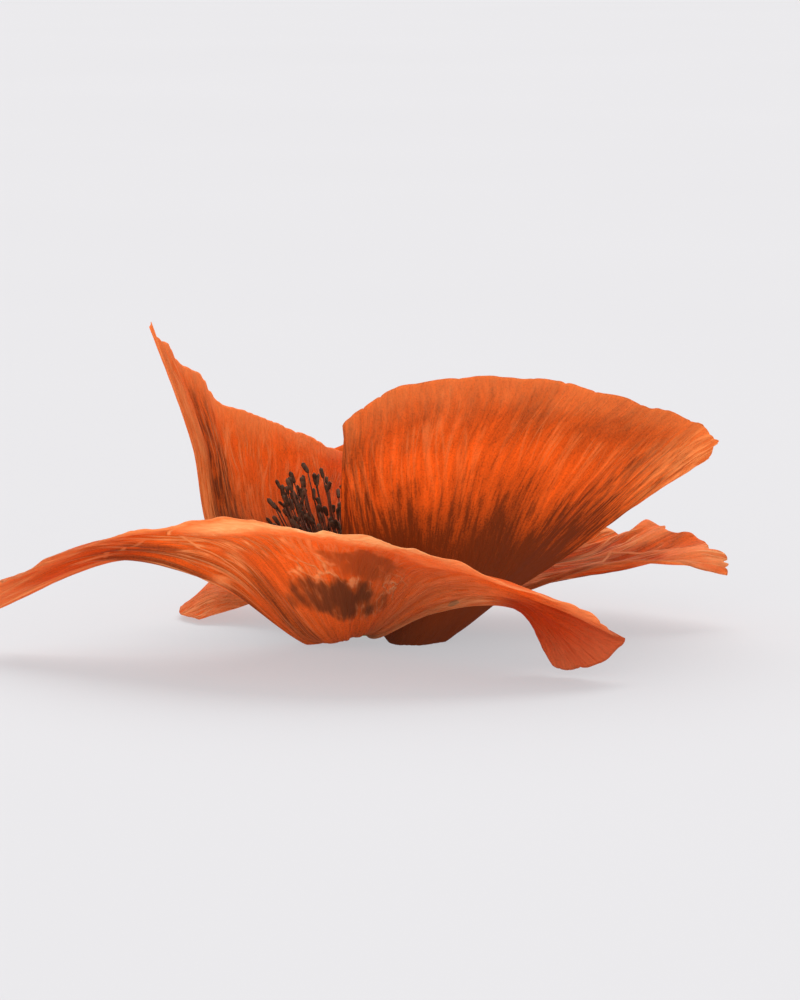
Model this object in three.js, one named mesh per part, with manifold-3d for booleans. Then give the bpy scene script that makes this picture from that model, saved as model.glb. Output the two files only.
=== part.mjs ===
// An oriental poppy flower, as picked: four petals in two whorls round a green receptacle,
// which carries the ovary with its velvety stigma disc and a dense ring of stamens.
// Millimetres, +Z up. The flower lies open side up on the low shoulders and lobes of its petals.
// Every place below is measured from the flower's axis, and from the surface that it lies on.

import * as THREE from 'three';
import { mergeVertices } from 'three/addons/utils/BufferGeometryUtils.js';
import Module from 'manifold-3d';

const wasm = await Module();
wasm.setup();

// ---- Driving dimensions, in millimetres, angles in degrees ----

const PETAL_THICKNESS = 0.8;
const PETAL_ROWS = 15;             // steps from the claw to the rim
const CLAW_RADIUS = 4.8;           // where a petal leaves the receptacle
const OUTER_CLAW_HEIGHT = 2.1;
const INNER_CLAW_HEIGHT = 3.8;
const FURROW_DEPTH = 0.45;         // long soft furrows along the veins
const CORNER_WIDTH = 0.11;         // the part of the rim that a rounded corner takes

const STALK_RADIUS = 2.6;
const STALK_CUT_HEIGHT = 0.3;      // the cut end stays clear of the surface below
const RECEPTACLE_RADIUS = 4.1;
const RECEPTACLE_TOP = 4.8;
const GAP = 0.3;

const OVARY_RADIUS = 5.7;
const OVARY_TOP = 18;
const STIGMA_RADIUS = 6.6;
const STIGMA_THICKNESS = 1.7;
const STIGMA_RAYS = 14;

const STAMEN_COUNT = 66;
const COLLAR_INNER_RADIUS = 2.6;   // the low ring that all filaments grow from
const COLLAR_RADIUS = 4.6;
const COLLAR_HEIGHT = 1.6;
const FILAMENT_RADIUS = 0.4;
const ANTHER_LENGTH = 3.0;
const ANTHER_RADIUS = 0.65;
const INNER_TIP_RADIUS = 9.5;      // the steepest stamens
const OUTER_TIP_RADIUS = 19.5;     // the stamens that lean out furthest
const INNER_TIP_HEIGHT = 25;
const TALLEST_TIP = 31.5;          // half-way between the steepest and the lowest stamens
const OUTER_TIP_HEIGHT = 21;
const GOLDEN_ANGLE = 137.508;
const SEED = 11;

// A petal is drawn by its main veins, counterclockwise from one margin to the other. Each vein
// leaves the claw and passes its shoulder, middle, upper part and rim, as [x, y, z]. Furrows and
// ruffles are counted across the petal. Notch and rounding are how far the rim steps back, as a
// part of the vein: notch between the veins, rounding at the corners. Both have one number for
// the first margin and one for the last.

const FRONT_PETAL = {
  name: 'petal_front',
  color: 0xd9642f,
  claw: { from: 195, to: 262, height: OUTER_CLAW_HEIGHT },
  columns: 36,
  furrows: 8,
  ruffles: 10,
  ruffleDepth: 0.35,
  notch: [0.012, 0.004],
  rounding: [0.02, 0],
  veins: [
    [[-10, -7, -0.6], [-29, -16, 12], [-47, -20, 17.6], [-74, -18, 6.2]],
    [[-11.5, -11.5, 0.4], [-28, -24, 15], [-49.5, -27, 20.7], [-76, -26, 10.7]],
    [[-11.5, -15.5, 1.8], [-27, -31, 19], [-46, -35, 23.8], [-66, -33, 17.3]],
    [[-9.5, -18, 2.4], [-23.5, -37, 22], [-37, -43, 26.8], [-50.5, -42, 25.2]],
    [[-7, -19, 2.8], [-18, -42, 24], [-26.5, -50, 28.3], [-34, -53, 30.6]],
    [[-4.5, -19.5, 3.2], [-7.5, -44, 23.3], [-11, -56, 28.8], [-13.5, -61, 31]],
    [[-2.5, -19.5, 3.6], [0.5, -43.5, 22], [3, -57, 26.3], [7, -63, 27.3]],
    [[0, -19.5, 4], [7.5, -42.5, 19.7], [15.5, -56, 22.5], [27, -61.5, 20.5]],
    [[1.5, -18.5, 4], [12.5, -40.5, 17.3], [25.5, -54, 19], [45, -57, 11.8]],
    [[2.5, -17.5, 4], [14.5, -37, 14.5], [29.5, -52, 16.5], [49.3, -53, 6.8]],
    [[3, -15.5, 2.8], [14.5, -33.5, 11.5], [29, -48, 14.8], [40, -48, 1.2]],
    [[2.5, -13, 1.6], [13.5, -29, 9], [28.5, -42, 12.2], [34.5, -45, 3.6]],
  ],
};

const RIGHT_PETAL = {
  name: 'petal_right',
  color: 0xde6a33,
  claw: { from: 270, to: 362, height: INNER_CLAW_HEIGHT },
  columns: 32,
  furrows: 8,
  ruffles: 9,
  ruffleDepth: 0.2,
  notch: [0.004, 0.003],
  rounding: [0, 0.01],
  veins: [
    [[-1.5, -14, 8], [-3.5, -24, 15], [-4.5, -31, 32], [-4, -35, 45.5]],
    [[1.5, -12.5, 5.5], [1, -29, 16], [-1, -36, 33.5], [-2, -39, 49.5]],
    [[4.5, -12, 2.4], [7, -31, 17], [6.5, -40, 37], [6.5, -41, 55]],
    [[7, -11.5, 0.2], [13, -31, 17], [16.5, -40, 39], [19.5, -40, 57]],
    [[9.5, -10.5, -0.6], [19.5, -29, 17], [26, -37, 39.5], [35, -35, 56]],
    [[12.5, -8.5, -0.8], [25.5, -24, 16.5], [36, -31, 37.5], [48, -27, 52]],
    [[14.5, -5.5, -0.8], [30.5, -17, 16], [46, -22, 34.5], [59.5, -17, 47.5]],
    [[15.5, -1.5, 0], [35, -8, 15.5], [51.5, -10, 31], [67, -6, 43.5]],
    [[16.5, 3, 3.5], [36.5, 0, 13.5], [54, 2, 26], [71, 4, 38]],
    [[16, 7, 5.5], [35.5, 8, 13], [52.5, 11, 24.5], [66.5, 12, 32.5]],
  ],
};

const LEFT_PETAL = {
  name: 'petal_left',
  color: 0xd56534,
  claw: { from: 90, to: 215, height: INNER_CLAW_HEIGHT },
  columns: 28,
  furrows: 6,
  ruffles: 7,
  ruffleDepth: 0.2,
  notch: [0.005, 0.002],
  rounding: [0, 0.02],
  veins: [
    [[1.5, 14, 5], [4, 26, 13.5], [5.5, 36, 19.5], [7.5, 42, 23.5]],
    [[-1.5, 14, 5.5], [-1.5, 28, 15], [-1.5, 39, 22.5], [0, 46, 28.5]],
    [[-5, 13, 6], [-8, 27, 17], [-8.5, 38, 25.5], [-8.5, 45, 33]],
    [[-7.5, 11, 6.5], [-13.5, 24, 18], [-15.5, 33, 28], [-16, 39, 37]],
    [[-10, 8, 7], [-18.5, 18, 19], [-21.5, 26, 30], [-22.5, 31, 41]],
    [[-12.5, 4, 7.5], [-23, 10, 20.5], [-26, 17, 32.5], [-28.2, 20, 44.2]],
    [[-14, 0, 8], [-26, 1, 21.5], [-30, 4, 37], [-34.5, 8, 52.4]],
    [[-15, -4, 8.5], [-28.5, -7, 21.5], [-32.5, -6, 40.5], [-40, -1, 58.8]],
    [[-16, -9, 8.5], [-30, -14, 21.5], [-34.5, -13, 41], [-43.6, -8, 65.8]],
  ],
};

const BACK_PETAL = {
  name: 'petal_back',
  color: 0xd2622f,
  claw: { from: 20, to: 165, height: OUTER_CLAW_HEIGHT },
  columns: 44,
  furrows: 9,
  ruffles: 12.5,
  ruffleDepth: 0.6,
  notch: [0.03, 0.002],
  rounding: [0.01, 0.04],
  veins: [
    [[13, 5, 1.2], [33, 4, 8.5], [52, 6, 13.3], [75, 8, 10.3]],
    [[13.5, 6.5, 1.2], [32.5, 7, 8.3], [52.5, 10, 12], [74.5, 14.5, 13]],
    [[13.5, 8, 1.2], [31, 12, 8], [50.5, 17, 12], [68, 23, 17]],
    [[12.5, 9.5, 0.8], [28.5, 18, 8.5], [46.5, 25, 12.5], [60, 30, 18]],
    [[11, 11.5, 0.3], [25.5, 25, 9.5], [40, 33, 13.5], [50, 38, 16.5]],
    [[9, 14, -0.3], [20.5, 32, 12.5], [30, 39, 20], [37.5, 43, 30.5]],
    [[6, 16.5, -0.6], [13.5, 38, 14], [18.5, 45, 26.5], [23, 49, 41]],
    [[2.5, 17, -0.6], [5.5, 42, 14], [7, 50, 27], [8, 53, 38]],
    [[-1, 17, -0.3], [-3.5, 42, 13], [-4.5, 50, 23.5], [-6, 53, 32]],
    [[-4, 16, 0.3], [-11.5, 39, 12], [-15.5, 47, 18.5], [-20.5, 51, 22.5]],
    [[-7, 15, 1.5], [-18, 33, 10], [-25, 40, 11], [-30.5, 43, 4.5]],
    [[-9, 12, 3], [-21.5, 22, 8.5], [-30.5, 27.5, 7.3], [-36.3, 31, 2.4]],
    [[-10, 8, 3.5], [-21, 14, 7], [-30, 18, 5.8], [-38.6, 21, 1.2]],
    [[-9, 4, 3.5], [-18.5, 9, 6], [-27, 13, 3.2], [-35.4, 13, 0.7]],
  ],
};

const GREEN = 0x7c8a45;
const CAPSULE_GREEN = 0x8b9a66;
const VIOLET_BLACK = 0x2c1626;
const DISC_VIOLET = 0x381b33;

// ---- Helpers ----

const radians = THREE.MathUtils.degToRad;

// A point at a radius and an angle round the axis.
function polar(radius, degrees, z) {
  const angle = radians(degrees);
  return new THREE.Vector3(radius * Math.cos(angle), radius * Math.sin(angle), z);
}

// A repeatable stream of numbers from 0 to 1.
function randomStream(seed) {
  let state = seed;
  return () => {
    state = (state * 1664525 + 1013904223) % 4294967296;
    return state / 4294967296;
  };
}

function part(name, geometry, color, roughness) {
  const material = new THREE.MeshStandardMaterial({ color, roughness, metalness: 0 });
  geometry.computeVertexNormals();
  const mesh = new THREE.Mesh(geometry, material);
  mesh.name = name;
  return mesh;
}

// A profile of [radius, height] pairs, from the axis back to the axis, turned round +Z.
function turned(profile, segments) {
  const points = profile.map(([radius, height]) => new THREE.Vector2(radius, height));
  const geometry = new THREE.LatheGeometry(points, segments);
  geometry.rotateX(Math.PI / 2);
  return geometry;
}

// Only the places of a geometry's vertices, with shared ones merged.
function welded(geometry) {
  const bare = geometry.clone();
  bare.deleteAttribute('normal');
  bare.deleteAttribute('uv');
  return mergeVertices(bare, 1e-4);
}

function toSolid(geometry) {
  const merged = welded(geometry);
  const vertProperties = new Float32Array(merged.attributes.position.array);
  const triVerts = new Uint32Array(merged.index.array);
  return new wasm.Manifold(new wasm.Mesh({ numProp: 3, vertProperties, triVerts }));
}

function toGeometry(solid) {
  const mesh = solid.getMesh();
  const geometry = new THREE.BufferGeometry();
  geometry.setAttribute('position', new THREE.BufferAttribute(mesh.vertProperties, 3));
  geometry.setIndex(new THREE.BufferAttribute(mesh.triVerts, 1));
  return geometry;
}

function fused(geometries) {
  const solids = geometries.map(toSolid);
  return toGeometry(solids.reduce((whole, solid) => whole.add(solid)));
}

// ---- Petals ----

// The middle of a petal's sheet: u runs along the veins, 0 at the claw and 1 at the rim, and
// v across them. A smooth curve follows each vein, and another joins their points at the same u.
function veinSurface(petal) {
  const { from, to, height } = petal.claw;
  const last = petal.veins.length - 1;
  const curves = petal.veins.map((places, index) => {
    const root = polar(CLAW_RADIUS, from + (to - from) * index / last, height);
    const points = [root, ...places.map((place) => new THREE.Vector3(...place))];
    return new THREE.CatmullRomCurve3(points, false, 'catmullrom');
  });
  return (u, v) => {
    const across = curves.map((curve) => curve.getPoint(u));
    return new THREE.CatmullRomCurve3(across, false, 'catmullrom').getPoint(v);
  };
}

// How far along its vein the sheet reaches. It is notched a little between the veins, and its two
// corners are rounded.
function rimReach(petal, v) {
  const wave = Math.sin(Math.PI * petal.ruffles * v + 0.6 * Math.sin(9 * v));
  const notch = petal.notch[0] + (petal.notch[1] - petal.notch[0]) * v;
  const [first, last] = petal.rounding;
  const nearFirst = Math.max(0, 1 - v / CORNER_WIDTH);
  const nearLast = Math.max(0, 1 - (1 - v) / CORNER_WIDTH);
  return 1 - notch * wave ** 4 - first * nearFirst ** 2 - last * nearLast ** 2;
}

// How far the sheet stands off its smooth middle: furrows that deepen outwards, and a waved rim.
function relief(petal, u, v) {
  const furrow = Math.sin(2 * Math.PI * petal.furrows * (v + 0.04 * Math.sin(7 * v)));
  const ruffle = Math.sin(2 * Math.PI * petal.ruffles * v + 1.3);
  return FURROW_DEPTH * u * furrow + petal.ruffleDepth * u ** 6 * ruffle;
}

// Unit normals of a grid of points, towards the inside of the bloom.
function gridNormals(grid) {
  const rows = grid.length - 1;
  const columns = grid[0].length - 1;
  return grid.map((line, i) => line.map((_, j) => {
    const along = grid[Math.min(i + 1, rows)][j].clone().sub(grid[Math.max(i - 1, 0)][j]);
    const across = grid[i][Math.min(j + 1, columns)].clone().sub(grid[i][Math.max(j - 1, 0)]);
    return along.cross(across).normalize();
  }));
}

// The sheet's middle as a grid. Where it bears on the surface below it lies flat.
function petalGrid(petal) {
  const surface = veinSurface(petal);
  const smooth = [];
  const places = [];
  for (let i = 0; i <= PETAL_ROWS; i += 1) {
    const line = [];
    const placeLine = [];
    for (let j = 0; j <= petal.columns; j += 1) {
      const v = j / petal.columns;
      const u = (i / PETAL_ROWS) * rimReach(petal, v);
      line.push(surface(u, v));
      placeLine.push([u, v]);
    }
    smooth.push(line);
    places.push(placeLine);
  }
  const normals = gridNormals(smooth);
  return smooth.map((line, i) => line.map((point, j) => {
    const [u, v] = places[i][j];
    point.addScaledVector(normals[i][j], relief(petal, u, v));
    point.z = Math.max(point.z, PETAL_THICKNESS / 2);
    return point;
  }));
}

// A thin closed sheet on both sides of the grid, split into triangles alike on both faces. Its
// underside is flat wherever it bears on the surface below.
function petalGeometry(petal) {
  const grid = petalGrid(petal);
  const normals = gridNormals(grid);
  const rows = PETAL_ROWS;
  const { columns } = petal;
  const inside = [];
  const outside = [];
  grid.forEach((line, i) => line.forEach((point, j) => {
    const half = normals[i][j].clone().multiplyScalar(PETAL_THICKNESS / 2);
    const under = point.clone().sub(half);
    inside.push(...point.clone().add(half).toArray());
    const bears = point.z <= PETAL_THICKNESS / 2;
    outside.push(under.x, under.y, bears ? 0 : Math.max(under.z, 0));
  }));
  const inner = (i, j) => i * (columns + 1) + j;
  const outer = (i, j) => inner(i, j) + inside.length / 3;
  const triangles = [];
  for (let i = 0; i < rows; i += 1) {
    for (let j = 0; j < columns; j += 1) {
      triangles.push(inner(i, j), inner(i + 1, j), inner(i + 1, j + 1));
      triangles.push(inner(i, j), inner(i + 1, j + 1), inner(i, j + 1));
      triangles.push(outer(i, j), outer(i + 1, j + 1), outer(i + 1, j));
      triangles.push(outer(i, j), outer(i, j + 1), outer(i + 1, j + 1));
    }
  }
  const edge = [];
  for (let i = 0; i < rows; i += 1) edge.push([i, 0]);
  for (let j = 0; j < columns; j += 1) edge.push([rows, j]);
  for (let i = rows; i > 0; i -= 1) edge.push([i, columns]);
  for (let j = columns; j > 0; j -= 1) edge.push([0, j]);
  edge.forEach((start, index) => {
    const end = edge[(index + 1) % edge.length];
    triangles.push(inner(...start), outer(...start), outer(...end));
    triangles.push(inner(...start), outer(...end), inner(...end));
  });
  const geometry = new THREE.BufferGeometry();
  const positions = new Float32Array([...inside, ...outside]);
  geometry.setAttribute('position', new THREE.BufferAttribute(positions, 3));
  geometry.setIndex(triangles);
  return geometry;
}

// ---- The middle of the flower ----

// A short cut stub of stalk that widens into the ring which the petals leave.
function receptacleGeometry() {
  const waist = STALK_CUT_HEIGHT + 0.4;
  return turned([
    [0, STALK_CUT_HEIGHT],
    [STALK_RADIUS, STALK_CUT_HEIGHT],
    [STALK_RADIUS, waist],
    [RECEPTACLE_RADIUS - 0.3, waist + 0.5],
    [RECEPTACLE_RADIUS, waist + 1],
    [RECEPTACLE_RADIUS, RECEPTACLE_TOP - 0.6],
    [RECEPTACLE_RADIUS - 0.5, RECEPTACLE_TOP],
    [0, RECEPTACLE_TOP],
  ], 24);
}

// The seed capsule: a narrow foot, full shoulders and a flat top under its disc.
function ovaryGeometry() {
  const foot = RECEPTACLE_TOP + GAP;
  const height = OVARY_TOP - foot;
  return turned([
    [0, foot],
    [1.9, foot],
    [2.2, foot + 0.14 * height],
    [0.62 * OVARY_RADIUS, foot + 0.25 * height],
    [0.86 * OVARY_RADIUS, foot + 0.42 * height],
    [0.98 * OVARY_RADIUS, foot + 0.66 * height],
    [OVARY_RADIUS, foot + 0.84 * height],
    [0.85 * OVARY_RADIUS, OVARY_TOP],
    [0, OVARY_TOP],
  ], 22);
}

// The cap on the capsule: a low dome with a scalloped edge and a raised ray to each scallop.
function stigmaGeometry() {
  const base = OVARY_TOP + GAP;
  const geometry = turned([
    [0, base],
    [0.8 * STIGMA_RADIUS, base],
    [STIGMA_RADIUS, base + 0.35 * STIGMA_THICKNESS],
    [0.96 * STIGMA_RADIUS, base + 0.6 * STIGMA_THICKNESS],
    [0.5 * STIGMA_RADIUS, base + 0.85 * STIGMA_THICKNESS],
    [0, base + STIGMA_THICKNESS],
  ], 2 * STIGMA_RAYS);
  const position = geometry.attributes.position;
  for (let index = 0; index < position.count; index += 1) {
    const x = position.getX(index);
    const y = position.getY(index);
    const z = position.getZ(index);
    const outwards = Math.hypot(x, y) / STIGMA_RADIUS;
    const ray = Math.cos(STIGMA_RAYS * Math.atan2(y, x));
    const scallop = 1 + 0.05 * ray * outwards;
    const raised = z > base + 0.5 * STIGMA_THICKNESS ? 0.3 * ray * Math.min(2 * outwards, 1) : 0;
    position.setXYZ(index, x * scallop, y * scallop, z + raised);
  }
  return geometry;
}

// The low ring on the receptacle, round the foot of the capsule.
function collarGeometry() {
  const base = RECEPTACLE_TOP + GAP;
  return turned([
    [COLLAR_INNER_RADIUS, base],
    [COLLAR_RADIUS, base],
    [COLLAR_RADIUS, base + 0.6 * COLLAR_HEIGHT],
    [COLLAR_RADIUS - 0.7, base + COLLAR_HEIGHT],
    [COLLAR_INNER_RADIUS, base + 0.8 * COLLAR_HEIGHT],
    [COLLAR_INNER_RADIUS, base],
  ], 24);
}

// One stamen: a three-sided filament that leaves the collar, bends up round the capsule, and
// carries a long anther on its tip. Those that lean out further are rooted further out.
function stamenGeometries(azimuth, lean, tipRadius, tipHeight) {
  const foot = RECEPTACLE_TOP + GAP;
  const rootRadius = COLLAR_INNER_RADIUS + 0.5 + lean * (COLLAR_RADIUS - COLLAR_INNER_RADIUS - 0.9);
  const root = polar(rootRadius, azimuth, foot + 0.3);
  const bend = polar(0.5 * (tipRadius + 9), azimuth, foot + 7 - 2 * lean);
  const tip = polar(tipRadius, azimuth, tipHeight);
  const path = new THREE.QuadraticBezierCurve3(root, bend, tip);
  const corners = [0, 120, 240].map((degrees) => {
    const corner = polar(FILAMENT_RADIUS, degrees, 0);
    return new THREE.Vector2(corner.x, corner.y);
  });
  const filament = new THREE.ExtrudeGeometry(new THREE.Shape(corners), {
    steps: 3,
    bevelEnabled: false,
    extrudePath: path,
  });
  const direction = path.getTangent(1);
  const upright = new THREE.Vector3(0, 1, 0);
  const anther = new THREE.SphereGeometry(1, 5, 3);
  anther.scale(ANTHER_RADIUS, ANTHER_LENGTH / 2, ANTHER_RADIUS);
  anther.applyQuaternion(new THREE.Quaternion().setFromUnitVectors(upright, direction));
  anther.translate(...tip.clone().addScaledVector(direction, 0.3 * ANTHER_LENGTH).toArray());
  return [filament, anther];
}

// All stamens, set round the capsule by the golden angle, from the steepest to those that
// lean out furthest.
function stamensGeometry() {
  const random = randomStream(SEED);
  const pieces = [collarGeometry()];
  for (let index = 0; index < STAMEN_COUNT; index += 1) {
    const lean = (index + 0.5) / STAMEN_COUNT;
    const azimuth = index * GOLDEN_ANGLE + 6 * (random() - 0.5);
    const tipRadius = INNER_TIP_RADIUS + (OUTER_TIP_RADIUS - INNER_TIP_RADIUS) * Math.sqrt(lean);
    const straight = INNER_TIP_HEIGHT + (OUTER_TIP_HEIGHT - INNER_TIP_HEIGHT) * lean;
    const middleHeight = (INNER_TIP_HEIGHT + OUTER_TIP_HEIGHT) / 2;
    const crown = (TALLEST_TIP - middleHeight) * Math.sin(Math.PI * lean);
    const tipHeight = straight + crown - 3 * random();
    pieces.push(...stamenGeometries(azimuth, lean, tipRadius, tipHeight));
  }
  return fused(pieces);
}

// ---- The whole flower ----

const flower = new THREE.Group();
for (const petal of [FRONT_PETAL, RIGHT_PETAL, LEFT_PETAL, BACK_PETAL]) {
  flower.add(part(petal.name, petalGeometry(petal), petal.color, 0.55));
}
flower.add(part('receptacle', receptacleGeometry(), GREEN, 0.6));
flower.add(part('ovary', ovaryGeometry(), CAPSULE_GREEN, 0.6));
flower.add(part('stigma_disc', stigmaGeometry(), DISC_VIOLET, 0.9));
flower.add(part('stamens', stamensGeometry(), VIOLET_BLACK, 0.7));

// The origin is the middle of the flower's own box, on the surface that it lies on.
const box = new THREE.Box3().setFromObject(flower);
const middle = box.getCenter(new THREE.Vector3());
flower.position.set(-middle.x, -middle.y, 0);

export default flower;
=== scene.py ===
# %% [markdown]
# # An oriental poppy, lit from behind
# Four wide petals of crumpled silk stand round a dark middle. They are so thin that most of the
# light which reaches them goes through. That decides nearly everything below: the petals are thin
# closed sheets with a translucent finish, the strongest light comes from behind and above them,
# and where two petals overlap the flower turns a deep red brown.
#
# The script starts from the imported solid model, which fixes where everything is. Each solid is
# then replaced by a finer piece of the same form in the same place.

# %% The frame
import bpy
import numpy as np
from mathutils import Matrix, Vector


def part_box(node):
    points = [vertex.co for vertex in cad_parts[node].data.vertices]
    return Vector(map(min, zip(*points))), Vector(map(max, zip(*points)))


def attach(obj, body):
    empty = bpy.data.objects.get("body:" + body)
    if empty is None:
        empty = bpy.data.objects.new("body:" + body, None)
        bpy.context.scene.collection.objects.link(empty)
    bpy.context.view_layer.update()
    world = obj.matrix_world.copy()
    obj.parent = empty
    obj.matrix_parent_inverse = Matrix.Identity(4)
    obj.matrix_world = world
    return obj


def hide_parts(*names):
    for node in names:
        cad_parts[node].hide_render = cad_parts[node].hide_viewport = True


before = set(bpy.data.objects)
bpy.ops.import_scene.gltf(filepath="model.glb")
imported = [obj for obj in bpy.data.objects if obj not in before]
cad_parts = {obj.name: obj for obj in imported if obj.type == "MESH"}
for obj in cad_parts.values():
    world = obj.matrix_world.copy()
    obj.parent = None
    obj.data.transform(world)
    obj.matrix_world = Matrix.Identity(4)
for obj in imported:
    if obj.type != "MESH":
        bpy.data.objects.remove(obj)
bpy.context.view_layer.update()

MM = 0.001
low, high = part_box("receptacle")
AXIS = np.array([(low.x + high.x) / 2, (low.y + high.y) / 2, 0.0])
print("flower's axis at", np.round(AXIS / MM, 2), "mm")

# %% [markdown]
# ## Numbers that describe the flower
# All lengths are in millimetres, from the flower's axis and from the surface it lies on. A petal
# is drawn by its main veins, counterclockwise from one margin to the other. Each vein leaves the
# claw, where the petal is joined on, and passes its shoulder, middle, upper part and rim. These
# are the same places that the solid model uses, so the fine sheet lies where the solid one does.

# %% The petals' veins
CLAW_RADIUS = 4.8
OUTER_CLAW_HEIGHT = 2.1
INNER_CLAW_HEIGHT = 3.8

FRONT_VEINS = [
    [[-10, -7, -0.6], [-29, -16, 12], [-47, -20, 17.6], [-74, -18, 6.2]],
    [[-11.5, -11.5, 0.4], [-28, -24, 15], [-49.5, -27, 20.7], [-76, -26, 10.7]],
    [[-11.5, -15.5, 1.8], [-27, -31, 19], [-46, -35, 23.8], [-66, -33, 17.3]],
    [[-9.5, -18, 2.4], [-23.5, -37, 22], [-37, -43, 26.8], [-50.5, -42, 25.2]],
    [[-7, -19, 2.8], [-18, -42, 24], [-26.5, -50, 28.3], [-34, -53, 30.6]],
    [[-4.5, -19.5, 3.2], [-7.5, -44, 23.3], [-11, -56, 28.8], [-13.5, -61, 31]],
    [[-2.5, -19.5, 3.6], [0.5, -43.5, 22], [3, -57, 26.3], [7, -63, 27.3]],
    [[0, -19.5, 4], [7.5, -42.5, 19.7], [15.5, -56, 22.5], [27, -61.5, 20.5]],
    [[1.5, -18.5, 4], [12.5, -40.5, 17.3], [25.5, -54, 19], [45, -57, 11.8]],
    [[2.5, -17.5, 4], [14.5, -37, 14.5], [29.5, -52, 16.5], [49.3, -53, 6.8]],
    [[3, -15.5, 2.8], [14.5, -33.5, 11.5], [29, -48, 14.8], [40, -48, 1.2]],
    [[2.5, -13, 1.6], [13.5, -29, 9], [28.5, -42, 12.2], [34.5, -45, 3.6]],
]
RIGHT_VEINS = [
    [[-1.5, -14, 8], [-3.5, -24, 15], [-4.5, -31, 32], [-4, -35, 45.5]],
    [[1.5, -12.5, 5.5], [1, -29, 16], [-1, -36, 33.5], [-2, -39, 49.5]],
    [[4.5, -12, 2.4], [7, -31, 17], [6.5, -40, 37], [6.5, -41, 55]],
    [[7, -11.5, 0.2], [13, -31, 17], [16.5, -40, 39], [19.5, -40, 57]],
    [[9.5, -10.5, -0.6], [19.5, -29, 17], [26, -37, 39.5], [35, -35, 56]],
    [[12.5, -8.5, -0.8], [25.5, -24, 16.5], [36, -31, 37.5], [48, -27, 52]],
    [[14.5, -5.5, -0.8], [30.5, -17, 16], [46, -22, 34.5], [59.5, -17, 47.5]],
    [[15.5, -1.5, 0], [35, -8, 15.5], [51.5, -10, 31], [67, -6, 43.5]],
    [[16.5, 3, 3.5], [36.5, 0, 13.5], [54, 2, 26], [71, 4, 38]],
    [[16, 7, 5.5], [35.5, 8, 13], [52.5, 11, 24.5], [66.5, 12, 32.5]],
]
LEFT_VEINS = [
    [[1.5, 14, 5], [4, 26, 13.5], [5.5, 36, 19.5], [7.5, 42, 23.5]],
    [[-1.5, 14, 5.5], [-1.5, 28, 15], [-1.5, 39, 22.5], [0, 46, 28.5]],
    [[-5, 13, 6], [-8, 27, 17], [-8.5, 38, 25.5], [-8.5, 45, 33]],
    [[-7.5, 11, 6.5], [-13.5, 24, 18], [-15.5, 33, 28], [-16, 39, 37]],
    [[-10, 8, 7], [-18.5, 18, 19], [-21.5, 26, 30], [-22.5, 31, 41]],
    [[-12.5, 4, 7.5], [-23, 10, 20.5], [-26, 17, 32.5], [-28.2, 20, 44.2]],
    [[-14, 0, 8], [-26, 1, 21.5], [-30, 4, 37], [-34.5, 8, 52.4]],
    [[-15, -4, 8.5], [-28.5, -7, 21.5], [-32.5, -6, 40.5], [-40, -1, 58.8]],
    [[-16, -9, 8.5], [-30, -14, 21.5], [-34.5, -13, 41], [-43.6, -8, 65.8]],
]
BACK_VEINS = [
    [[13, 5, 1.2], [33, 4, 8.5], [52, 6, 13.3], [75, 8, 10.3]],
    [[13.5, 6.5, 1.2], [32.5, 7, 8.3], [52.5, 10, 12], [74.5, 14.5, 13]],
    [[13.5, 8, 1.2], [31, 12, 8], [50.5, 17, 12], [68, 23, 17]],
    [[12.5, 9.5, 0.8], [28.5, 18, 8.5], [46.5, 25, 12.5], [60, 30, 18]],
    [[11, 11.5, 0.3], [25.5, 25, 9.5], [40, 33, 13.5], [50, 38, 16.5]],
    [[9, 14, -0.3], [20.5, 32, 12.5], [30, 39, 20], [37.5, 43, 30.5]],
    [[6, 16.5, -0.6], [13.5, 38, 14], [18.5, 45, 26.5], [23, 49, 41]],
    [[2.5, 17, -0.6], [5.5, 42, 14], [7, 50, 27], [8, 53, 38]],
    [[-1, 17, -0.3], [-3.5, 42, 13], [-4.5, 50, 23.5], [-6, 53, 32]],
    [[-4, 16, 0.3], [-11.5, 39, 12], [-15.5, 47, 18.5], [-20.5, 51, 22.5]],
    [[-7, 15, 1.5], [-18, 33, 10], [-25, 40, 11], [-30.5, 43, 4.5]],
    [[-9, 12, 3], [-21.5, 22, 8.5], [-30.5, 27.5, 7.3], [-36.3, 31, 2.4]],
    [[-10, 8, 3.5], [-21, 14, 7], [-30, 18, 5.8], [-38.6, 21, 1.2]],
    [[-9, 4, 3.5], [-18.5, 9, 6], [-27, 13, 3.2], [-35.4, 13, 0.7]],
]

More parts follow.
